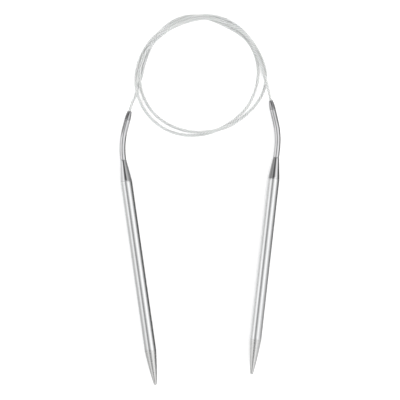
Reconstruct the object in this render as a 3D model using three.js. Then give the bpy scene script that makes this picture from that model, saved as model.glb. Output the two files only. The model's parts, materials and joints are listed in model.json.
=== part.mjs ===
// Circular knitting needle: two bent-neck metal needles joined by one coated wire-rope cord.
// Millimetres, +Z up. It lies flat: the points face -Y, the coiled cord is at the +Y end,
// and the shafts and the coil rest on the plane Z = 0.
import * as THREE from 'three';

// Shaft and point
const SHAFT_RADIUS = 3;
const SHAFT_BORE_RADIUS = 2.35;
const POINT_LENGTH = 18.4;
const POINT_END_RADIUS = 0.85;
const POINT_BULGE = 0.15;         // how far the taper swells past a straight cone at mid length
const SHANK_RADIUS = 2.15;
const SHANK_LENGTH = 8;

// Reducer and neck
const REDUCER_LENGTH = 11.2;
const REDUCER_SPIGOT = 7;
const NECK_RADIUS = 1.56;
const NECK_BORE_RADIUS = 1.15;
const NECK_BEND_RADIUS = 40.8;
const NECK_SPIGOT_RADIUS = 0.9;
const NECK_SPIGOT_LENGTH = 3.5;

// Collar, sleeve and the end of the cord inside them
const COLLAR_LENGTH = 4.8;
const COLLAR_SPIGOT_RADIUS = 1.08;
const COLLAR_SPIGOT_LENGTH = 1;
const COLLAR_MOUTH_RADIUS = 1.06;
const COLLAR_BORE_RADIUS = 0.88;
const SLEEVE_RADIUS = 1.07;
const SLEEVE_BORE_RADIUS = 0.62;
const SLEEVE_LENGTH = 3.4;
const CORE_RADIUS = 0.52;
const CORE_INSET = 1.5;           // how far behind the mouth the bare wire rope starts

// Cord
const CORD_RADIUS = 0.8;
const CORD_SIDES = 8;
const COIL_CENTRE = [0.55, 86.9];
const COIL_OUTER_RADIUS = 34.85;  // half the coil's width, outside
const COIL_INNER_RADIUS = 27.7;
const COIL_SQUEEZE = 0.918;       // the coil's length along Y over its width along X
const COIL_HEIGHT = 4.2;
const COIL_CORNER = 1;

// Faceting and fits
const SHAFT_SIDES = 24;
const NECK_SIDES = 16;
const COIL_SIDES = 64;
const SEAM = 0.1;                 // gap between pieces that meet end to end
const CORD_GAP = 0.3;             // gap between the cord's tail and the collar it leaves

// Where each needle lies: its tip, how far it leans from +Y (degrees, anticlockwise), the
// distance from tip to reducer, the neck's straight lead, its bend (degrees, anticlockwise) and
// the straight run to the mouth. The tail is the cord's route from the mouth to where it flexes.
const NEEDLES = [
  {
    side: 'left',
    tip: [-23.18, -74.08],
    lean: 8.14,
    shaftLength: 107.1,
    neckLead: 0,
    neckBend: -23,
    neckRun: 9.4,
    tail: [[-36.05, 70.3, 2.99], [-35.4, 72.2, 2.88], [-34.65, 74.05, 2.57], [-33.8, 75.8, 2.17]],
  },
  {
    side: 'right',
    tip: [26.79, -68.58],
    lean: -6.45,
    shaftLength: 102.5,
    neckLead: 4.6,
    neckBend: 19.3,
    neckRun: 11.5,
    tail: [[36.35, 75.7, 3], [36.02, 77.2, 2.99], [35.66, 78.9, 2.97]],
  },
];

const satinSteel = new THREE.MeshStandardMaterial({ color: 0xc9cacb, roughness: 0.3, metalness: 1 });
const turnedSteel = new THREE.MeshStandardMaterial({ color: 0xc2c2c0, roughness: 0.42, metalness: 1 });
const polishedSteel = new THREE.MeshStandardMaterial({ color: 0xb4b6b8, roughness: 0.12, metalness: 1 });
const ferruleBrass = new THREE.MeshStandardMaterial({ color: 0xb99a55, roughness: 0.35, metalness: 1 });
const wireRope = new THREE.MeshStandardMaterial({ color: 0xa4a7a6, roughness: 0.35, metalness: 1 });
const clearNylon = new THREE.MeshStandardMaterial({ color: 0xd5d9d5, roughness: 0.25, metalness: 0 });

// A polygon drawn round a circle, so that each of its flats touches the circle.
function aroundCircle(radius, sides) {
  return radius / Math.cos(Math.PI / sides);
}

// A turned piece about +Y. Half a step of turn puts one flat squarely on the underside.
function turned(name, outline, sides, material) {
  const points = outline.map(([r, y]) => new THREE.Vector2(r, y));
  const geometry = new THREE.LatheGeometry(points, sides, Math.PI / sides);
  const mesh = new THREE.Mesh(geometry, material);
  mesh.name = name;
  return mesh;
}

// The point's outline from its rounded end to its shoulder, as [radius, distance from tip].
function pointOutline() {
  const outline = [[0, 0]];
  const arcSteps = 3;
  for (let i = 1; i < arcSteps; i += 1) {
    const angle = (i / arcSteps) * (Math.PI / 2);
    outline.push([POINT_END_RADIUS * Math.sin(angle), POINT_END_RADIUS * (1 - Math.cos(angle))]);
  }
  const taperSteps = 5;
  const shoulder = aroundCircle(SHAFT_RADIUS, SHAFT_SIDES);
  for (let i = 0; i <= taperSteps; i += 1) {
    const t = i / taperSteps;
    const radius = THREE.MathUtils.lerp(POINT_END_RADIUS, shoulder, t) + POINT_BULGE * Math.sin(Math.PI * t);
    outline.push([radius, THREE.MathUtils.lerp(POINT_END_RADIUS, POINT_LENGTH, t)]);
  }
  return outline;
}

function makePoint(side) {
  const shankEnd = POINT_LENGTH + SHANK_LENGTH;
  const outline = [...pointOutline(), [SHANK_RADIUS, POINT_LENGTH], [SHANK_RADIUS, shankEnd], [0, shankEnd]];
  return turned(`${side}_point`, outline, SHAFT_SIDES, turnedSteel);
}

function makeShaftTube(side, shaftLength) {
  const start = POINT_LENGTH + SEAM;
  const end = shaftLength - SEAM;
  const outer = aroundCircle(SHAFT_RADIUS, SHAFT_SIDES);
  const inner = aroundCircle(SHAFT_BORE_RADIUS, SHAFT_SIDES);
  const outline = [[inner, start], [outer, start], [outer, end], [inner, end], [inner, start]];
  return turned(`${side}_shaft_tube`, outline, SHAFT_SIDES, satinSteel);
}

// The reducer's outline starts at its wide end, which butts against the shaft tube at Y = 0.
function makeReducer(side) {
  const outline = [
    [0, -REDUCER_SPIGOT],
    [SHANK_RADIUS, -REDUCER_SPIGOT],
    [SHANK_RADIUS, 0],
    [aroundCircle(SHAFT_RADIUS, SHAFT_SIDES), 0],
    [NECK_RADIUS, REDUCER_LENGTH],
    [NECK_SPIGOT_RADIUS, REDUCER_LENGTH],
    [NECK_SPIGOT_RADIUS, REDUCER_LENGTH + NECK_SPIGOT_LENGTH],
    [0, REDUCER_LENGTH + NECK_SPIGOT_LENGTH],
  ];
  return turned(`${side}_reducer`, outline, SHAFT_SIDES, polishedSteel);
}

// The neck's centre line: a straight lead along +Y, an arc, then a straight run to the mouth.
class NeckLine extends THREE.Curve {
  constructor({ neckLead, neckBend, neckRun }, from, cutShort) {
    super();
    this.lead = neckLead;
    this.bend = THREE.MathUtils.degToRad(neckBend);
    this.arcLength = Math.abs(this.bend) * NECK_BEND_RADIUS;
    this.total = neckLead + this.arcLength + neckRun;
    this.from = from;
    this.to = this.total - cutShort;
  }

  at(distance) {
    const inArc = THREE.MathUtils.clamp(distance - this.lead, 0, this.arcLength);
    const heading = (inArc / this.arcLength) * this.bend;
    const sign = Math.sign(this.bend);
    const straightBefore = Math.min(distance, this.lead);
    const straightAfter = Math.max(distance - this.lead - this.arcLength, 0);
    const x = -sign * NECK_BEND_RADIUS * (1 - Math.cos(heading)) - straightAfter * Math.sin(heading);
    const y = straightBefore + NECK_BEND_RADIUS * Math.sin(Math.abs(heading)) + straightAfter * Math.cos(heading);
    return new THREE.Vector3(x, y, 0);
  }

  getPoint(t) {
    return this.at(THREE.MathUtils.lerp(this.from, this.to, t));
  }
}

function circle(PathType, radius, sides) {
  const path = new PathType();
  for (let i = 0; i < sides; i += 1) {
    const angle = ((i + 0.5) / sides) * 2 * Math.PI;
    const put = i === 0 ? 'moveTo' : 'lineTo';
    path[put](radius * Math.cos(angle), radius * Math.sin(angle));
  }
  path.closePath();
  return path;
}

function swept(name, section, curve, steps, material) {
  const geometry = new THREE.ExtrudeGeometry(section, { extrudePath: curve, steps });
  const mesh = new THREE.Mesh(geometry, material);
  mesh.name = name;
  return mesh;
}

function makeNeckTube(needle) {
  const section = circle(THREE.Shape, NECK_RADIUS, NECK_SIDES);
  section.holes.push(circle(THREE.Path, NECK_BORE_RADIUS, NECK_SIDES));
  const line = new NeckLine(needle, SEAM, COLLAR_LENGTH + SEAM);
  const steps = 20;
  return swept(`${needle.side}_neck_tube`, section, line, steps, polishedSteel);
}

// Pieces at the mouth are turned about +Y with the mouth at Y = 0 and the neck below it.
function makeCollar(side) {
  const spigotEnd = -COLLAR_LENGTH - COLLAR_SPIGOT_LENGTH;
  const outline = [
    [COLLAR_BORE_RADIUS, spigotEnd],
    [COLLAR_SPIGOT_RADIUS, spigotEnd],
    [COLLAR_SPIGOT_RADIUS, -COLLAR_LENGTH],
    [NECK_RADIUS, -COLLAR_LENGTH],
  ];
  const steps = 4;
  for (let i = 1; i <= steps; i += 1) {
    const t = i / steps;
    const radius = THREE.MathUtils.lerp(NECK_RADIUS, COLLAR_MOUTH_RADIUS, t * t);
    outline.push([radius, -COLLAR_LENGTH * (1 - t)]);
  }
  outline.push([COLLAR_BORE_RADIUS, 0], [COLLAR_BORE_RADIUS, spigotEnd]);
  return turned(`${side}_end_collar`, outline, NECK_SIDES, polishedSteel);
}

function makeSleeve(side) {
  const top = -COLLAR_LENGTH - COLLAR_SPIGOT_LENGTH - SEAM;
  const bottom = top - SLEEVE_LENGTH;
  const outline = [
    [SLEEVE_BORE_RADIUS, bottom],
    [SLEEVE_RADIUS, bottom],
    [SLEEVE_RADIUS, top],
    [SLEEVE_BORE_RADIUS, top],
    [SLEEVE_BORE_RADIUS, bottom],
  ];
  return turned(`${side}_cord_sleeve`, outline, NECK_SIDES, ferruleBrass);
}

function makeCoreEnd(side) {
  const bottom = -COLLAR_LENGTH - COLLAR_SPIGOT_LENGTH - SLEEVE_LENGTH;
  const outline = [[0, bottom], [CORE_RADIUS, bottom], [CORE_RADIUS, -CORE_INSET], [0, -CORE_INSET]];
  return turned(`${side}_core_end`, outline, NECK_SIDES, wireRope);
}

// The needle's own frame has its tip at the origin and its shaft along +Y.
function makeNeedle(needle) {
  const group = new THREE.Group();
  group.position.set(needle.tip[0], needle.tip[1], SHAFT_RADIUS);
  group.rotation.z = THREE.MathUtils.degToRad(needle.lean);

  const reducer = makeReducer(needle.side);
  reducer.position.y = needle.shaftLength;

  const neckTube = makeNeckTube(needle);
  neckTube.position.y = needle.shaftLength + REDUCER_LENGTH;

  const mouth = new THREE.Group();
  const line = new NeckLine(needle, 0, 0);
  mouth.position.copy(line.at(line.total));
  mouth.position.y += needle.shaftLength + REDUCER_LENGTH;
  mouth.rotation.z = line.bend;
  mouth.add(makeCollar(needle.side), makeSleeve(needle.side), makeCoreEnd(needle.side));

  group.add(makePoint(needle.side), makeShaftTube(needle.side, needle.shaftLength), reducer, neckTube, mouth);
  return { group, mouth };
}

// The cord's tail leaves the mouth in line with it, just clear of the collar.
function makeTail(needle, mouth) {
  mouth.updateWorldMatrix(true, false);
  const start = mouth.localToWorld(new THREE.Vector3(0, CORD_GAP, 0));
  const points = [start, ...needle.tail.map((point) => new THREE.Vector3(...point))];
  const section = circle(THREE.Shape, CORD_RADIUS, CORD_SIDES);
  const steps = 4;
  return swept(`${needle.side}_cord_tail`, section, new THREE.CatmullRomCurve3(points), steps, clearNylon);
}

// The space that the coil's turns fill: a ring lying on the floor, narrower along Y than along X.
function makeCoil() {
  const outline = [
    [COIL_INNER_RADIUS + COIL_CORNER, 0],
    [COIL_OUTER_RADIUS - COIL_CORNER, 0],
    [COIL_OUTER_RADIUS, COIL_CORNER],
    [COIL_OUTER_RADIUS, COIL_HEIGHT - COIL_CORNER],
    [COIL_OUTER_RADIUS - COIL_CORNER, COIL_HEIGHT],
    [COIL_INNER_RADIUS + COIL_CORNER, COIL_HEIGHT],
    [COIL_INNER_RADIUS, COIL_HEIGHT - COIL_CORNER],
    [COIL_INNER_RADIUS, COIL_CORNER],
    [COIL_INNER_RADIUS + COIL_CORNER, 0],
  ];
  const coil = turned('cord_coil', outline, COIL_SIDES, clearNylon);
  coil.rotation.x = Math.PI / 2;
  coil.scale.z = COIL_SQUEEZE;
  coil.position.set(...COIL_CENTRE, 0);
  return coil;
}

const part = new THREE.Group();
part.add(makeCoil());
for (const needle of NEEDLES) {
  const { group, mouth } = makeNeedle(needle);
  part.add(group, makeTail(needle, mouth));
}

export default part;
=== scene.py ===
import json
import math

import bmesh
import bpy
import numpy as np
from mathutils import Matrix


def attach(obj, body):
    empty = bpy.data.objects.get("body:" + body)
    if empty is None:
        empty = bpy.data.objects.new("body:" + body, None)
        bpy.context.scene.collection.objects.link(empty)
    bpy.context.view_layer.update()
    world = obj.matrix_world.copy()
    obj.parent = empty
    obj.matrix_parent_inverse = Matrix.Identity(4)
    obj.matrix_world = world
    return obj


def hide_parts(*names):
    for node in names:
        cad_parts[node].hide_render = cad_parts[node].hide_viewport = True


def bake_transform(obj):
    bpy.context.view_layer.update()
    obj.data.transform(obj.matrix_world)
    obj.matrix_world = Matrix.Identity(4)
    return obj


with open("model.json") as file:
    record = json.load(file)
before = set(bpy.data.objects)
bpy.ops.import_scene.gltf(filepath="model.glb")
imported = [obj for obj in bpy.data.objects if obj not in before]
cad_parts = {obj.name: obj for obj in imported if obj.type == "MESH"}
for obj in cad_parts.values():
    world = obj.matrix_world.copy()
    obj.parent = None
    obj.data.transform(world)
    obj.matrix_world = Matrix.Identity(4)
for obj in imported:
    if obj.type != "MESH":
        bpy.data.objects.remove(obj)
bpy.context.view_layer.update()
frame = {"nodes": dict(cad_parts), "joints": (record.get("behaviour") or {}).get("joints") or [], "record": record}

# Circular knitting needle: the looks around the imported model. Metres, +Z up. The points face
# -Y, the coiled cord is at the +Y end, and everything lies on the plane Z = 0.

# --- Sizes repeated from part.mjs ---------------------------------------------------------------
SHAFT_RADIUS = 0.0030
SHAFT_BORE_RADIUS = 0.00235
POINT_LENGTH = 0.0184
POINT_END_RADIUS = 0.00085
POINT_BULGE = 0.00015
SHANK_RADIUS = 0.00215
SHANK_LENGTH = 0.008
REDUCER_LENGTH = 0.0112
REDUCER_SPIGOT = 0.007
NECK_RADIUS = 0.00156
NECK_BORE_RADIUS = 0.00115
NECK_BEND_RADIUS = 0.0408
NECK_SPIGOT_RADIUS = 0.0009
NECK_SPIGOT_LENGTH = 0.0035
COLLAR_LENGTH = 0.0048
COLLAR_SPIGOT_RADIUS = 0.00108
COLLAR_SPIGOT_LENGTH = 0.001
COLLAR_MOUTH_RADIUS = 0.00106
COLLAR_BORE_RADIUS = 0.00088
SLEEVE_RADIUS = 0.00107
SLEEVE_BORE_RADIUS = 0.00062
SLEEVE_LENGTH = 0.0034
CORE_INSET = 0.0015
SEAM = 0.0001
CORD_RADIUS = 0.0008
CORD_DIAMETER = 2 * CORD_RADIUS
COIL_CENTRE = (0.00055, 0.0869)

# --- The cord's route ---------------------------------------------------------------------------
# The cord leaves the left mouth, turns two and a half times round the coil, clockwise from
# above, and goes into the right mouth. The tails are listed points between mouth and coil.
LEFT_TAIL = [
    (-0.03605, 0.0703), (-0.0354, 0.0722), (-0.03465, 0.07405), (-0.0338, 0.0758),
    (-0.03276, 0.0794), (-0.03172, 0.0831),
]
RIGHT_TAIL = [
    (0.03432, 0.0841), (0.03515, 0.0810),
    (0.03566, 0.0789), (0.03602, 0.0772), (0.03635, 0.0757),
]
# The coil's mean radius, and its cosine and sine waves for one, two and three swells a turn.
COIL_RADIUS = 0.03108
COIL_WAVES = [(0.00072, -0.00013), (0.00091, -0.00080), (-0.00028, -0.00031)]
# How far outside the mean line the cord lies at every 20 degrees of its turns, in cord
# diameters: the turns wander across each other from one side of the bunch to the other.
LANES = [
    -0.9, -1.0, 0.0, 0.9, 0.8, -0.4, -1.0, -0.6, -0.8, -1.2, -1.2, -0.8, -0.4, 0.3, 0.6, 0.7,
    0.7, 0.8, 0.9, 0.8, 0.5, 0.0, 0.2, 0.8, 1.0, 0.6, 0.7, 1.4, 1.2, 0.6, 0.4, -0.1, -0.7, -1.1,
    -1.1, -0.8, -0.3, -0.1, -0.6, -0.9, -0.8, -0.1, 0.0, 0.2, -0.2, 0.8,
]
LANE_STEP = 20
TURN_STEP = 10                   # degrees between the points of a turn
CORD_STEP = 0.0005               # distance between the rings of the cord's mesh
CORD_INSET = 0.0012              # how far inside the mouth the sheath starts
LEFT_DROP = (0.0021, 0.0158)     # where the tail starts and stops coming down, from the mouth
RIGHT_DROP = (0.0036, 0.0184)
HUMP_REACH = 0.0022              # how far a crossing's height reaches along the cord
HUMP_SOFTNESS = 0.0020
HUMP_PASSES = 6                  # the lower turns settle before those that lie on them
NEIGHBOURHOOD = 5 * CORD_DIAMETER    # stretches closer than this along the cord don't cross
HUMP_RUN_IN = 4 * CORD_DIAMETER  # no hump lifts the cord at once next to a mouth
DENSE_STEPS = 60                 # steps between two route points when it is measured out
LEFT_STRETCH = 0.040             # length of the separate stretches next to the mouths
RIGHT_STRETCH = 0.038
STRETCH_GAP = 0.00001
FLEX_START = 0.0003              # how far from the mouth the humps start to fade in
LEFT_FLEX_END = 0.0155
RIGHT_FLEX_END = 0.0101

# --- The wire rope inside the cord --------------------------------------------------------------
STRANDS = 3
STRAND_RADIUS = 0.00024
STRAND_CIRCLE = 0.00028
ROPE_LAY = 0.00495               # length in which a strand turns once round the rope
ROPE_SIDES = 48
SHEATH_SIDES = 24


def smooth_through(knots, values, places):
    """A natural cubic curve through values at knots, worked out at other places."""
    gaps = np.diff(knots)
    slopes = np.diff(values, axis=0) / gaps.reshape((-1,) + (1,) * (values.ndim - 1))
    system = np.eye(len(knots))
    bends = np.zeros_like(values)
    for i in range(1, len(knots) - 1):
        system[i, i - 1:i + 2] = gaps[i - 1], 2 * (gaps[i - 1] + gaps[i]), gaps[i]
        bends[i] = 6 * (slopes[i] - slopes[i - 1])
    bends = np.linalg.solve(system, bends)
    cell = np.clip(np.searchsorted(knots, places) - 1, 0, len(gaps) - 1)
    shape = (-1,) + (1,) * (values.ndim - 1)
    gap = gaps[cell].reshape(shape)
    after = (places - knots[cell]).reshape(shape)
    before = gap - after
    curve = (bends[cell] * before**3 + bends[cell + 1] * after**3) / (6 * gap)
    curve += (values[cell] / gap - bends[cell] * gap / 6) * before
    return curve + (values[cell + 1] / gap - bends[cell + 1] * gap / 6) * after


def distances(points):
    """How far along a line of points each point is."""
    steps = np.linalg.norm(np.diff(points, axis=0), axis=1)
    return np.concatenate([[0], np.cumsum(steps)])


def evenly(points, step):
    """The smooth curve through the points, as points a step apart."""
    along = distances(points)
    dense = smooth_through(along, points, np.linspace(0, along[-1], len(points) * DENSE_STEPS))
    along = distances(dense)
    places = np.linspace(0, along[-1], int(round(along[-1] / step)) + 1)
    return np.stack([np.interp(places, along, dense[:, k]) for k in range(dense.shape[1])], axis=1)


def smoothstep(t):
    t = np.clip(t, 0, 1)
    return t * t * (3 - 2 * t)


# --- Where each needle lies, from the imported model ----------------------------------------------
class Needle:
    """One needle's centre line: straight from the tip, round the neck's bend, to the mouth."""

    def __init__(self, side):
        self.side = side
        shaft = vertices_of(f"{side}_shaft_tube")
        self.axis = long_axis(shaft)
        middle = shaft.mean(axis=0)
        point = vertices_of(f"{side}_point")
        reducer = vertices_of(f"{side}_reducer")
        self.tip = middle + self.axis * ((point - middle) @ self.axis).min()
        self.reducer_start = ((reducer - self.tip) @ self.axis).min() + REDUCER_SPIGOT
        turn = next(j for j in frame["joints"] if j["name"] == f"{side}_needle_turn")
        self.mouth = np.array(turn["pos_m"])
        self.mouth_axis = towards_cord(np.array(turn["axis"]))
        self.set_bend()

    def set_bend(self):
        to_mouth = self.mouth - self.tip
        turn = np.cross(self.axis, self.mouth_axis)
        bend = math.asin(np.linalg.norm(turn))
        after = np.cross(self.axis, to_mouth)[2] / turn[2]
        before = to_mouth @ self.axis - after * math.cos(bend)
        tangent = NECK_BEND_RADIUS * math.tan(bend / 2)
        self.arc_start = before - tangent
        self.arc_end = self.arc_start + bend * NECK_BEND_RADIUS
        self.length = self.arc_end + after - tangent
        self.inward = np.cross(turn / np.linalg.norm(turn), self.axis)

    def at(self, distance):
        """The centre line's place and direction at a distance from the tip."""
        in_arc = min(max(distance - self.arc_start, 0), self.arc_end - self.arc_start)
        angle = in_arc / NECK_BEND_RADIUS
        heading = math.cos(angle) * self.axis + math.sin(angle) * self.inward
        place = self.tip + self.axis * min(distance, self.arc_start)
        place = place + NECK_BEND_RADIUS * math.sin(angle) * self.axis
        place = place + NECK_BEND_RADIUS * (1 - math.cos(angle)) * self.inward
        return place + heading * max(distance - self.arc_end, 0), heading


def vertices_of(node):
    mesh = frame["nodes"][node].data
    places = np.zeros(len(mesh.vertices) * 3)
    mesh.vertices.foreach_get("co", places)
    return places.reshape(-1, 3)


def body_of(node):
    bodies = frame["record"]["behaviour"]["bodies"]
    return next(body for body, nodes in bodies.items() if node in nodes)


def towards_cord(direction):
    """The direction at unit length, facing +Y."""
    return direction * math.copysign(1, direction[1]) / np.linalg.norm(direction)


def long_axis(places):
    """The direction in which a set of places spreads most, towards +Y."""
    _, _, directions = np.linalg.svd(places - places.mean(axis=0), full_matrices=False)
    return towards_cord(directions[0])


NEEDLES = {side: Needle(side) for side in ("left", "right")}


# --- The camera ---------------------------------------------------------------------------------
CAMERA_HEIGHT = 1.2
VIEW_WIDTH = 0.208               # what the square picture takes in at the needles' height
SENSOR_WIDTH = 36
VIEW_CENTRE = (0.0, 0.0222)


def make_camera():
    data = bpy.data.cameras.new("camera")
    data.sensor_width = SENSOR_WIDTH
    data.lens = SENSOR_WIDTH * CAMERA_HEIGHT / VIEW_WIDTH
    data.clip_start = 0.01
    data.clip_end = 50
    camera = bpy.data.objects.new("camera", data)
    camera.location = (*VIEW_CENTRE, CAMERA_HEIGHT + SHAFT_RADIUS)
    bpy.context.scene.collection.objects.link(camera)
    bpy.context.scene.camera = camera


# --- Meshes -------------------------------------------------------------------------------------
SHARP_ANGLE = math.radians(35)


def make_mesh(name, vertices, faces, material, local):
    """A smooth-shaded mesh. local holds each vertex's place in the piece's own straight frame."""
    mesh = bpy.data.meshes.new(name)
    mesh.from_pydata([tuple(v) for v in vertices], [], faces)
    attribute = mesh.attributes.new("local", "FLOAT_VECTOR", "POINT")
    attribute.data.foreach_set("vector", np.asarray(local, np.float32).ravel())
    shape = bmesh.new()
    shape.from_mesh(mesh)
    bmesh.ops.recalc_face_normals(shape, faces=shape.faces)
    shape.to_mesh(mesh)
    shape.free()
    mesh.polygons.foreach_set("use_smooth", [True] * len(mesh.polygons))
    mesh.set_sharp_from_angle(angle=SHARP_ANGLE)
    mesh.materials.append(material)
    piece = bpy.data.objects.new(name, mesh)
    bpy.context.scene.collection.objects.link(piece)
    return piece


def strip_faces(rows, sides, closed):
    """Four-sided faces between rows of sides vertices, where closed joins the last to the first."""
    faces = []
    for row in range(rows if closed else rows - 1):
        low = row * sides
        high = ((row + 1) % rows) * sides
        for i in range(sides):
            j = (i + 1) % sides
            faces.append((low + i, low + j, high + j, high + i))
    return faces


def fan_faces(row, sides, centre):
    start = row * sides
    return [(start + i, start + (i + 1) % sides, centre) for i in range(sides)]


def headings(path):
    ahead = np.gradient(path, axis=0)
    return ahead / np.linalg.norm(ahead, axis=1, keepdims=True)


def tube(name, path, section, material, local):
    """A closed solid along a path. section(i) gives the ring's places across and up."""
    rows = []
    for i, heading in enumerate(headings(path)):
        across = np.cross(heading, (0, 0, 1))
        across = across / np.linalg.norm(across)
        up = np.cross(across, heading)
        ring = section(i)
        rows.append(path[i] + ring[:, :1] * across + ring[:, 1:] * up)
    sides = len(rows[0])
    faces = strip_faces(len(rows), sides, closed=False)
    vertices = np.concatenate(rows + [path[:1], path[-1:]])
    centre = len(rows) * sides
    faces += fan_faces(0, sides, centre) + fan_faces(len(rows) - 1, sides, centre + 1)
    return make_mesh(name, vertices, faces, material, np.concatenate([local, local[:1], local[-1:]]))


# --- The cord -----------------------------------------------------------------------------------
def coil_points():
    """The coil's turns seen from above, from the left tail's end to the right tail's start."""
    angles = np.arange(0, LANE_STEP * (len(LANES) - 1) + 1, TURN_STEP)
    knots = np.arange(len(LANES)) * LANE_STEP
    lanes = smooth_through(knots.astype(float), np.array(LANES), angles.astype(float))
    points = []
    for degrees, lane in zip(angles, lanes):
        turn = math.radians(degrees)
        radius = COIL_RADIUS + lane * CORD_DIAMETER
        for swells, (cosine, sine) in enumerate(COIL_WAVES, start=1):
            radius += cosine * math.cos(swells * turn) + sine * math.sin(swells * turn)
        x = COIL_CENTRE[0] - radius * math.cos(turn)
        y = COIL_CENTRE[1] + radius * math.sin(turn)
        points.append((x, y))
    return points


def plan_route():
    """The cord's line seen from above, from inside the left mouth to inside the right mouth."""
    left, right = NEEDLES["left"], NEEDLES["right"]
    inside_left = left.mouth - left.mouth_axis * CORD_INSET
    inside_right = right.mouth - right.mouth_axis * CORD_INSET
    points = [inside_left[:2], left.mouth[:2], *LEFT_TAIL, *coil_points(), *RIGHT_TAIL]
    points += [right.mouth[:2], inside_right[:2]]
    return evenly(np.array(points), CORD_STEP)


def resting_heights(route):
    """The cord's height with nothing under it: up at the mouths, down on the floor between."""
    from_left = distances(route) - CORD_INSET
    from_right = from_left[-1] - CORD_INSET - from_left
    heights = np.full(len(route), CORD_RADIUS)
    for away, (start, end) in ((from_left, LEFT_DROP), (from_right, RIGHT_DROP)):
        raised = 1 - smoothstep((away - start) / (end - start))
        heights = heights + (SHAFT_RADIUS - CORD_RADIUS) * raised
    return heights


def widened(values, reach):
    """Each value's highest neighbour within reach samples."""
    padded = np.pad(values, reach, mode="edge")
    return np.max([padded[k:k + len(values)] for k in range(2 * reach + 1)], axis=0)


def softened(values, softness):
    """The values blurred by a bell curve, whose width is softness samples."""
    reach = 3 * softness
    places = np.arange(-reach, reach + 1)
    weights = np.exp(-0.5 * (places / softness) ** 2)
    padded = np.pad(values, reach, mode="edge")
    return np.convolve(padded, weights / weights.sum(), mode="valid")


def laid_route():
    """The whole centre line. Where the cord meets an earlier stretch of itself, it lies on it."""
    route = plan_route()
    resting = resting_heights(route)
    apart = np.linalg.norm(route[:, None] - route[None], axis=2)
    order = np.arange(len(route))
    neighbours = int(NEIGHBOURHOOD / CORD_STEP)
    earlier = order[None] < order[:, None] - neighbours
    touching = earlier & (apart < CORD_DIAMETER)
    lift = np.sqrt(np.clip(CORD_DIAMETER**2 - apart**2, 0, None))
    heights = resting
    for _ in range(HUMP_PASSES):
        needed = np.where(touching, heights[None] + lift, 0).max(axis=1)
        humps = widened(np.maximum(needed, resting), int(HUMP_REACH / CORD_STEP))
        humps = softened(humps, int(HUMP_SOFTNESS / CORD_STEP))
        from_end = np.minimum(order, order[::-1]) * CORD_STEP
        free = smoothstep((from_end - CORD_INSET - FLEX_START) / HUMP_RUN_IN)
        heights = resting + np.maximum(humps - resting, 0) * free
    return evenly(np.column_stack([route, heights]), CORD_STEP)


def rope_section():
    """Radius of the strands twisted together, for each side of the section."""
    angles = np.arange(ROPE_SIDES) * 2 * math.pi / ROPE_SIDES
    off_strand = (angles + math.pi / STRANDS) % (2 * math.pi / STRANDS) - math.pi / STRANDS
    reach = np.sqrt(np.clip(STRAND_RADIUS**2 - (STRAND_CIRCLE * np.sin(off_strand)) ** 2, 0, None))
    return angles, STRAND_CIRCLE * np.cos(off_strand) + reach


def make_sheath(name, path, start, material):
    angles = np.arange(SHEATH_SIDES) * 2 * math.pi / SHEATH_SIDES
    ring = CORD_RADIUS * np.column_stack([np.cos(angles), np.sin(angles)])
    local = straight_places(ring, len(path), start)
    return tube(name, path, lambda i: ring, material, local)


def straight_places(ring, rows, start):
    """Each ring vertex's place on the cord pulled straight, with its length along Z."""
    along = start + np.arange(rows) * CORD_STEP
    places = np.zeros((rows, len(ring), 3))
    places[:, :, :2] = ring
    places[:, :, 2] = along[:, None]
    return places.reshape(-1, 3)


def make_rope(name, path, start, material):
    angles, radii = rope_section()
    untwisted = np.column_stack([radii * np.cos(angles), radii * np.sin(angles)])

    def section(i):
        turned = angles + 2 * math.pi * (start + i * CORD_STEP) / ROPE_LAY
        return np.column_stack([radii * np.cos(turned), radii * np.sin(turned)])

    local = straight_places(untwisted, len(path), start)
    return tube(name, path, section, material, local)


def make_cord(materials):
    """The cord as three stretches: the two ends and the coil between them."""
    path = laid_route()
    along = distances(path)
    first_cut = int(round(LEFT_STRETCH / CORD_STEP))
    last_cut = len(path) - 1 - int(round(RIGHT_STRETCH / CORD_STEP))
    cuts = {
        "left_end": (0, first_cut),
        "coil": (first_cut, last_cut),
        "right_end": (last_cut, len(path) - 1),
    }
    made = {}
    for name, (first, last) in cuts.items():
        stretch = path[first:last + 1].copy()
        stretch[-1] -= headings(stretch)[-1] * STRETCH_GAP
        start = first * CORD_STEP
        rope = make_rope(f"cord_rope_{name}", stretch, start, materials["wire_rope"])
        sheath = make_sheath(f"cord_sheath_{name}", stretch, start, materials["cord_sheath"])
        sheath.visible_shadow = False
        made[name] = (sheath, rope, stretch, along[last] - along[first])
    attach_cord(made)
    make_core_ends(path, materials["wire_rope"])


def make_core_ends(route, material):
    """The stripped ends of the wire rope, in line with the rope in the cord and twisted on."""
    inner = COLLAR_LENGTH + COLLAR_SPIGOT_LENGTH + SLEEVE_LENGTH
    rings = int((inner - CORE_INSET) / CORD_STEP) + 1
    into_left = np.linspace(inner, CORE_INSET, rings)
    starts = {"left": CORD_INSET - inner, "right": distances(route)[-1] + CORE_INSET - CORD_INSET}
    for side, depths in (("left", into_left), ("right", into_left[::-1])):
        needle = NEEDLES[side]
        path = needle.mouth - depths[:, None] * needle.mouth_axis
        core = make_rope(f"{side}_core_stripped", path, starts[side], material)
        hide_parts(f"{side}_core_end")
        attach(core, body_of(f"{side}_core_end"))


def attach_cord(made):
    """Keeps the end stretches in place, puts the coil's stretch on the cord loop's body, and hides what the
    stretches replace.
    """
    for side, flex_end in (("left", LEFT_FLEX_END), ("right", RIGHT_FLEX_END)):
        for piece in made[f"{side}_end"][:2]:
            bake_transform(piece)
        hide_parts(f"{side}_cord_tail")
    for piece in made["coil"][:2]:
        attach(piece, "cord_loop")
    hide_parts("cord_coil")


# --- The needles' pieces ------------------------------------------------------------------------
TURNED_SIDES = 96
RING_STEP = 0.001
FILLET_POINTS = 5
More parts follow.
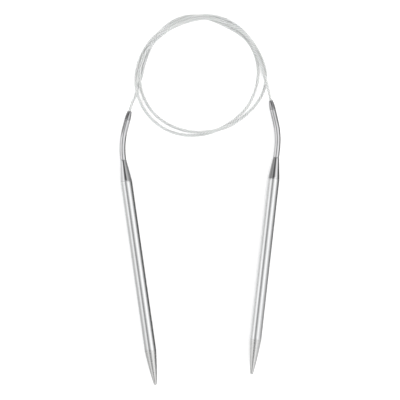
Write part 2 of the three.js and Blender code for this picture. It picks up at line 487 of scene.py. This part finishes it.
# The point is ground down together with the shaft, so the seam between them hardly shows.
POINT_SEAM = 0.00001
POINT_EDGE = 0.00002
# Fillets on the other edges
SHAFT_EDGE = 0.00012
SHANK_EDGE = 0.0003
REDUCER_EDGE = 0.0001
SPIGOT_EDGE = 0.0002
NECK_EDGE = 0.00005
MOUTH_EDGE = 0.00004
SLEEVE_EDGE = 0.0001


def rounded(corners, closed):
    """An outline of (distance, radius) points from corners of (distance, radius, fillet)."""
    outline = []
    count = len(corners)
    for i, (distance, radius, fillet) in enumerate(corners):
        here = np.array((distance, radius))
        if fillet == 0 or (not closed and i in (0, count - 1)):
            outline.append(here)
            continue
        before = np.array(corners[i - 1][:2]) - here
        after = np.array(corners[(i + 1) % count][:2]) - here
        before = before / np.linalg.norm(before)
        after = after / np.linalg.norm(after)
        half = math.acos(np.clip(before @ after, -1, 1)) / 2
        reach = fillet / math.tan(half)
        for k in range(FILLET_POINTS + 1):
            t = k / FILLET_POINTS
            start, end = here + before * reach, here + after * reach
            outline.append((1 - t) ** 2 * start + 2 * t * (1 - t) * here + t * t * end)
    return outline


def divided(outline, closed):
    """The outline with extra points, so that no step along the needle is longer than one ring."""
    points = []
    following = outline[1:] + outline[:1] if closed else outline[1:]
    for here, there in zip(outline, following):
        pieces = max(1, math.ceil(abs(there[0] - here[0]) / RING_STEP))
        points += [here + (there - here) * k / pieces for k in range(pieces)]
    return points if closed else points + [outline[-1]]


def turned(name, needle, corners, closed, material):
    """A piece turned round a needle's centre line. An open outline starts and ends on it."""
    outline = divided(rounded(corners, closed), closed)
    rings = outline if closed else outline[1:-1]
    angles = np.arange(TURNED_SIDES) * 2 * math.pi / TURNED_SIDES
    vertices = []
    local = []
    for distance, radius in rings:
        place, heading = needle.at(distance)
        across = np.cross(heading, (0, 0, 1))
        for angle in angles:
            x, z = radius * math.cos(angle), radius * math.sin(angle)
            vertices.append(place + x * across + z * np.array((0, 0, 1)))
            local.append((x, z, distance))
    faces = strip_faces(len(rings), TURNED_SIDES, closed)
    if not closed:
        for row, (distance, _) in ((0, outline[0]), (len(rings) - 1, outline[-1])):
            faces += fan_faces(row, TURNED_SIDES, len(vertices))
            vertices.append(needle.at(distance)[0])
            local.append((0, 0, distance))
    return make_mesh(name, vertices, faces, material, local)


def point_corners():
    slope = math.atan((SHAFT_RADIUS - POINT_END_RADIUS) / (POINT_LENGTH - POINT_END_RADIUS))
    corners = [(0, 0, 0)]
    arc_steps = 12
    for i in range(1, arc_steps + 1):
        angle = (math.pi / 2 - slope) * i / arc_steps
        distance = POINT_END_RADIUS * (1 - math.cos(angle))
        corners.append((distance, POINT_END_RADIUS * math.sin(angle), 0))
    taper_start, taper_radius, _ = corners[-1]
    taper_steps = 18
    for i in range(1, taper_steps):
        t = i / taper_steps
        distance = taper_start + (POINT_LENGTH - taper_start) * t
        radius = taper_radius + (SHAFT_RADIUS - taper_radius) * t
        corners.append((distance, radius + POINT_BULGE * math.sin(math.pi * t), 0))
    shank_end = POINT_LENGTH + SHANK_LENGTH
    corners += [
        (POINT_LENGTH, SHAFT_RADIUS, POINT_EDGE), (POINT_LENGTH, SHANK_RADIUS, 0),
        (shank_end, SHANK_RADIUS, SHANK_EDGE), (shank_end, 0, 0),
    ]
    return corners


def make_point(needle, material):
    return turned(f"{needle.side}_point_turned", needle, point_corners(), False, material)


def make_shaft(needle, material):
    start = POINT_LENGTH + POINT_SEAM
    end = needle.reducer_start - SEAM / 2
    corners = [
        (start, SHAFT_BORE_RADIUS, SHAFT_EDGE), (start, SHAFT_RADIUS, POINT_EDGE),
        (end, SHAFT_RADIUS, SHAFT_EDGE / 2), (end, SHAFT_BORE_RADIUS, SHAFT_EDGE),
    ]
    return turned(f"{needle.side}_shaft_drawn", needle, corners, True, material)


def make_reducer(needle, material):
    wide = needle.reducer_start
    narrow = wide + REDUCER_LENGTH
    start = wide - REDUCER_SPIGOT
    end = narrow + NECK_SPIGOT_LENGTH
    corners = [
        (start, 0, 0), (start, SHANK_RADIUS, SHANK_EDGE),
        (wide, SHANK_RADIUS, 0), (wide, SHAFT_RADIUS, REDUCER_EDGE),
        (narrow, NECK_RADIUS, NECK_EDGE), (narrow, NECK_SPIGOT_RADIUS, 0),
        (end, NECK_SPIGOT_RADIUS, SPIGOT_EDGE), (end, 0, 0),
    ]
    return turned(f"{needle.side}_reducer_turned", needle, corners, False, material)


def make_neck(needle, material):
    start = needle.reducer_start + REDUCER_LENGTH + SEAM / 2
    end = needle.length - COLLAR_LENGTH - SEAM / 2
    corners = [
        (start, NECK_BORE_RADIUS, NECK_EDGE), (start, NECK_RADIUS, NECK_EDGE),
        (end, NECK_RADIUS, NECK_EDGE), (end, NECK_BORE_RADIUS, NECK_EDGE),
    ]
    return turned(f"{needle.side}_neck_bent", needle, corners, True, material)


def make_collar(needle, material):
    mouth = needle.length
    shoulder = mouth - COLLAR_LENGTH
    inner_end = shoulder - COLLAR_SPIGOT_LENGTH
    corners = [
        (inner_end, COLLAR_BORE_RADIUS, 0), (inner_end, COLLAR_SPIGOT_RADIUS, 0),
        (shoulder, COLLAR_SPIGOT_RADIUS, 0), (shoulder, NECK_RADIUS, NECK_EDGE),
    ]
    steps = 12
    for i in range(1, steps):
        t = i / steps
        radius = NECK_RADIUS + (COLLAR_MOUTH_RADIUS - NECK_RADIUS) * t * t
        corners.append((shoulder + COLLAR_LENGTH * t, radius, 0))
    corners += [(mouth, COLLAR_MOUTH_RADIUS, MOUTH_EDGE), (mouth, COLLAR_BORE_RADIUS, MOUTH_EDGE)]
    return turned(f"{needle.side}_collar_turned", needle, corners, True, material)


def make_sleeve(needle, material):
    end = needle.length - COLLAR_LENGTH - COLLAR_SPIGOT_LENGTH - SEAM
    start = end - SLEEVE_LENGTH
    corners = [
        (start, SLEEVE_BORE_RADIUS, SLEEVE_EDGE), (start, SLEEVE_RADIUS, SLEEVE_EDGE),
        (end, SLEEVE_RADIUS, SLEEVE_EDGE), (end, SLEEVE_BORE_RADIUS, SLEEVE_EDGE),
    ]
    return turned(f"{needle.side}_sleeve_turned", needle, corners, True, material)


# (what makes the piece, the node it replaces, its slot in the record, its look)
NEEDLE_PIECES = [
    (make_point, "point", "turned_steel", "turned_steel"),
    (make_shaft, "shaft_tube", "satin_steel", "satin_steel"),
    (make_reducer, "reducer", "polished_steel", "polished_steel"),
    # the neck's look is the reducer's polished steel made darker as painted shade
    (make_neck, "neck_tube", "polished_steel", "painted_shade_neck_steel"),
    (make_collar, "end_collar", "polished_steel", "dark_steel"),
    (make_sleeve, "cord_sleeve", "ferrule", "ferrule_brass"),
]


def make_needles(materials):
    for side, needle in NEEDLES.items():
        for make, node, slot, look in NEEDLE_PIECES:
            piece = make(needle, materials[look])
            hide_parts(f"{side}_{node}")
            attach(piece, body_of(f"{side}_{node}"))


# --- Materials ----------------------------------------------------------------------------------
NOISE_LOW, NOISE_HIGH = 0.3, 0.7     # most of a noise's values lie between these
# Scales a distance from the rope's axis, so that the rope's painted shade is dark in the grooves,
# up to 0.22 mm out, and lightest on the strands' crowns, 0.52 mm out.
ROPE_PAINTED_SHADE_SCALE = 1350
# How bright the polished pieces are: reducer, neck and collar
# the neck's copy is darker than the reducer's, as painted shade for the darker reflections on it
POLISHED_LOOKS = [("polished_steel", 0.605), ("painted_shade_neck_steel", 0.56), ("dark_steel", 0.40)]


class Look:
    """A node material with a Principled shader, built from a few named steps."""

    def __init__(self, name, **sockets):
        self.material = bpy.data.materials.new(name)
        self.material.use_nodes = True
        self.tree = self.material.node_tree
        self.shader = self.tree.nodes["Principled BSDF"]
        for socket, value in sockets.items():
            self.shader.inputs[socket.replace("_", " ")].default_value = value

    def node(self, kind, **settings):
        made = self.tree.nodes.new(kind)
        for key, value in settings.items():
            setattr(made, key, value)
        return made

    def link(self, source, target):
        self.tree.links.new(source, target)

    def local(self, stretch):
        """The piece's own straight coordinates in metres, scaled by stretch along each axis."""
        place = self.node("ShaderNodeAttribute", attribute_name="local")
        mapping = self.node("ShaderNodeMapping")
        mapping.inputs["Scale"].default_value = stretch
        self.link(place.outputs["Vector"], mapping.inputs["Vector"])
        return mapping.outputs["Vector"]

    def noise(self, vector, detail=3.0):
        made = self.node("ShaderNodeTexNoise")
        made.inputs["Scale"].default_value = 1.0
        made.inputs["Detail"].default_value = detail
        self.link(vector, made.inputs["Vector"])
        return made.outputs["Fac"]

    def ranged(self, value, low, high):
        made = self.node("ShaderNodeMapRange")
        made.inputs["From Min"].default_value = NOISE_LOW
        made.inputs["From Max"].default_value = NOISE_HIGH
        made.inputs["To Min"].default_value = low
        made.inputs["To Max"].default_value = high
        self.link(value, made.inputs["Value"])
        return made.outputs["Result"]

    def tinted(self, value, dark, light):
        ramp = self.node("ShaderNodeMix", data_type="RGBA")
        ramp.inputs["A"].default_value = (*dark, 1)
        ramp.inputs["B"].default_value = (*light, 1)
        self.link(self.ranged(value, 0, 1), ramp.inputs["Factor"])
        self.link(ramp.outputs["Result"], self.shader.inputs["Base Color"])

    def roughened(self, value, low, high):
        self.link(self.ranged(value, low, high), self.shader.inputs["Roughness"])

    def bumped(self, value, height):
        bump = self.node("ShaderNodeBump")
        bump.inputs["Distance"].default_value = height
        self.link(value, bump.inputs["Height"])
        self.link(bump.outputs["Normal"], self.shader.inputs["Normal"])


def satin_steel():
    """Drawn tube, polished along its length: fine streaks that run with the shaft."""
    look = Look("satin_steel", Metallic=1.0)
    streaks = look.noise(look.local((9000, 9000, 60)), detail=4)
    clouds = look.noise(look.local((500, 500, 90)))
    look.tinted(clouds, (0.66, 0.665, 0.67), (0.70, 0.705, 0.71))
    look.roughened(streaks, 0.15, 0.22)
    look.bumped(streaks, 0.000002)
    return look.material


def turned_steel():
    """Ground point: faint rings round it and a matt grain."""
    look = Look("turned_steel", Metallic=1.0)
    rings = look.noise(look.local((150, 150, 7000)), detail=2)
    grain = look.noise(look.local((6000, 6000, 6000)))
    look.tinted(grain, (0.62, 0.62, 0.615), (0.68, 0.68, 0.675))
    look.roughened(rings, 0.20, 0.30)
    look.bumped(rings, 0.000003)
    return look.material


def polished_steel(name, brightness):
    """Polished steel with faint clouds and fine scratches along the piece."""
    look = Look(name, Metallic=1.0)
    clouds = look.noise(look.local((700, 700, 250)))
    scratches = look.noise(look.local((5000, 5000, 300)))
    darker, lighter = 0.96 * brightness, 1.04 * brightness
    look.tinted(clouds, (darker, darker, darker + 0.01), (lighter, lighter, lighter + 0.01))
    look.roughened(scratches, 0.05, 0.09)
    look.bumped(scratches, 0.0000006)
    return look.material


def ferrule_brass():
    """Dull pressed brass with a fine grain."""
    look = Look("ferrule_brass", Metallic=1.0)
    grain = look.noise(look.local((3000, 3000, 3000)))
    look.tinted(grain, (0.62, 0.47, 0.22), (0.70, 0.55, 0.28))
    look.roughened(grain, 0.28, 0.40)
    return look.material


def wire_rope():
    """Bright steel strands, with painted shade in the grooves between them, each laid up of finer wires."""
    look = Look("wire_rope", Metallic=0.45)
    wires = look.noise(look.local((20000, 20000, 2500)), detail=1)
    out = look.node("ShaderNodeVectorMath", operation="LENGTH")
    look.link(look.local((ROPE_PAINTED_SHADE_SCALE, ROPE_PAINTED_SHADE_SCALE, 0)), out.inputs[0])
    # painted shade: the tint darkens from the strands' crowns into the grooves between them
    look.tinted(out.outputs["Value"], (0.08, 0.08, 0.08), (0.72, 0.73, 0.73))
    look.roughened(wires, 0.24, 0.36)
    look.bumped(wires, 0.00001)
    return look.material


def cord_sheath():
    """Clear extruded nylon with a faint milky tint and slow ripples in its wall."""
    look = Look("cord_sheath", Transmission_Weight=0.88, IOR=1.45)
    ripples = look.noise(look.local((600, 600, 500)))
    look.tinted(ripples, (0.93, 0.94, 0.935), (0.97, 0.98, 0.975))
    look.roughened(ripples, 0.04, 0.10)
    look.bumped(ripples, 0.000008)
    return look.material


def make_materials():
    made = {}
    for make in (satin_steel, turned_steel, ferrule_brass, wire_rope, cord_sheath):
        made[make.__name__] = make()
    for name, brightness in POLISHED_LOOKS:
        made[name] = polished_steel(name, brightness)
    return made


# --- Floor, light and world ---------------------------------------------------------------------
FLOOR_SIZE = 6.0
FLOOR_SHADE = 0.93
FLOOR_GLOW = 0.09                # the floor is a table lit a little from below
LIGHT_DISTANCE = 0.9
# (name, angle from overhead towards +X, width of the box in degrees, radiance)
SOFTBOXES = [("left_softbox", -52, 50, 1.35), ("right_softbox", 42, 60, 1.50)]
SOFTBOX_LENGTH = 2.2
WORLD_LIGHT = 0.80               # what the world gives to the floor, the cord and the camera
# What metal reflects of the studio, as (angle from overhead towards +X in degrees, brightness):
# a pale box on each side, the dark camera overhead and a dark flag low on the right.
REFLECTIONS = [
    (-180, 0.45), (-125, 0.70), (-95, 0.52), (-75, 0.66), (-47, 0.95), (-20, 0.28), (-4, 0.30),
    (20, 0.80), (43, 1.00), (62, 0.76), (88, 0.22), (115, 0.06), (135, 0.08), (180, 0.30),
]
# The same towards the points, and what share it takes by the slope towards +Y.
FRONT_REFLECTIONS = [
    (-180, 0.38), (-116, 0.38), (-85, 0.39), (-62, 0.62), (-44, 0.72), (-17, 0.16), (8, 0.36),
    (36, 0.84), (65, 0.58), (101, 0.46), (180, 0.50),
]
FRONT_SHARES = [(-1, 0), (-0.62, 0), (-0.45, 1), (-0.20, 1), (-0.08, 0), (1, 0)]
# And towards the cord, where the boxes end in a dark gap before a pale wall.
BACK_REFLECTIONS = [
    (-180, 0.35), (-99, 0.33), (-72, 0.20), (-43, 0.33), (-20, 0.12), (3, 0.05), (14, 0.22),
    (28, 0.52), (45, 0.46), (63, 0.35), (80, 0.26), (100, 0.18), (130, 0.18), (180, 0.30),
]
BACK_SHARES = [(-1, 0), (0.14, 0), (0.24, 1), (0.45, 1), (0.62, 0), (1, 0)]
REFLECTION_STRENGTH = 1.6


def make_floor():
    half = FLOOR_SIZE / 2
    mesh = bpy.data.meshes.new("floor")
    corners = [(-half, -half, 0), (half, -half, 0), (half, half, 0), (-half, half, 0)]
    mesh.from_pydata(corners, [], [(0, 1, 2, 3)])
    look = Look("floor_paper", Roughness=0.9, Specular_IOR_Level=0.1)
    look.shader.inputs["Base Color"].default_value = (FLOOR_SHADE, FLOOR_SHADE, FLOOR_SHADE, 1)
    look.shader.inputs["Emission Color"].default_value = (1, 1, 1, 1)
    look.shader.inputs["Emission Strength"].default_value = FLOOR_GLOW
    mesh.materials.append(look.material)
    floor = bpy.data.objects.new("floor", mesh)
    floor.visible_glossy = False
    bpy.context.scene.collection.objects.link(floor)


def make_lights():
    for name, degrees, width, radiance in SOFTBOXES:
        angle = math.radians(degrees)
        data = bpy.data.lights.new(name, "AREA")
        data.shape = "RECTANGLE"
        data.size = 2 * LIGHT_DISTANCE * math.tan(math.radians(width / 2))
        data.size_y = SOFTBOX_LENGTH
        data.energy = radiance * math.pi * data.size * data.size_y
        light = bpy.data.objects.new(name, data)
        light.location = (LIGHT_DISTANCE * math.sin(angle), 0, LIGHT_DISTANCE * math.cos(angle))
        light.rotation_euler = (0, angle, 0)
        light.visible_camera = False
        light.visible_glossy = False
        bpy.context.scene.collection.objects.link(light)


def make_world():
    """A plain pale world, in which metal reflects pale and dark zones of its own."""
    world = bpy.data.worlds.new("studio")
    world.use_nodes = True
    world.cycles.sampling_method = "NONE"
    tree = world.node_tree
    link = tree.links.new

    def node(kind, **settings):
        made = tree.nodes.new(kind)
        for key, value in settings.items():
            setattr(made, key, value)
        return made

    def profile(value, low, high, stops):
        """The brightness between stops of (value, brightness), for a value from low to high."""
        place = node("ShaderNodeMapRange")
        place.inputs["From Min"].default_value = low
        place.inputs["From Max"].default_value = high
        link(value, place.inputs["Value"])
        ramp = node("ShaderNodeValToRGB")
        fill_ramp(ramp.color_ramp, [((stop - low) / (high - low), level) for stop, level in stops])
        link(place.outputs["Result"], ramp.inputs["Fac"])
        return ramp.outputs["Color"]

    direction = node("ShaderNodeSeparateXYZ")
    link(node("ShaderNodeTexCoord").outputs["Generated"], direction.inputs["Vector"])
    angle = node("ShaderNodeMath", operation="ARCTAN2")
    link(direction.outputs["X"], angle.inputs[0])
    link(direction.outputs["Z"], angle.inputs[1])

    def studio(reflections):
        stops = [(math.radians(degrees), level) for degrees, level in reflections]
        return profile(angle.outputs["Value"], -math.pi, math.pi, stops)

    level = studio(REFLECTIONS)
    for reflections, shares in ((FRONT_REFLECTIONS, FRONT_SHARES), (BACK_REFLECTIONS, BACK_SHARES)):
        mixed = node("ShaderNodeMix")
        link(profile(direction.outputs["Y"], -1, 1, shares), mixed.inputs["Factor"])
        link(level, mixed.inputs["A"])
        link(studio(reflections), mixed.inputs["B"])
        level = mixed.outputs["Result"]
    reflected = node("ShaderNodeMath", operation="MULTIPLY")
    reflected.inputs[1].default_value = REFLECTION_STRENGTH
    link(level, reflected.inputs[0])
    chosen = node("ShaderNodeMix")
    chosen.inputs["A"].default_value = WORLD_LIGHT
    link(node("ShaderNodeLightPath").outputs["Is Glossy Ray"], chosen.inputs["Factor"])
    link(reflected.outputs["Value"], chosen.inputs["B"])
    background = tree.nodes["Background"]
    background.inputs["Color"].default_value = (1, 1, 1, 1)
    link(chosen.outputs["Result"], background.inputs["Strength"])
    bpy.context.scene.world = world
    bpy.context.scene.view_settings.view_transform = "Standard"


def fill_ramp(ramp, stops):
    """Sets a colour ramp's stops, as (position from 0 to 1, brightness)."""
    ramp.interpolation = "EASE"
    while len(ramp.elements) < len(stops):
        ramp.elements.new(0.5)
    for element, (position, level) in zip(ramp.elements, stops):
        element.position = position
        element.color = (level, level, level, 1)


# --- The scene ----------------------------------------------------------------------------------
make_camera()
materials = make_materials()
make_cord(materials)
make_needles(materials)
make_floor()
make_lights()
make_world()
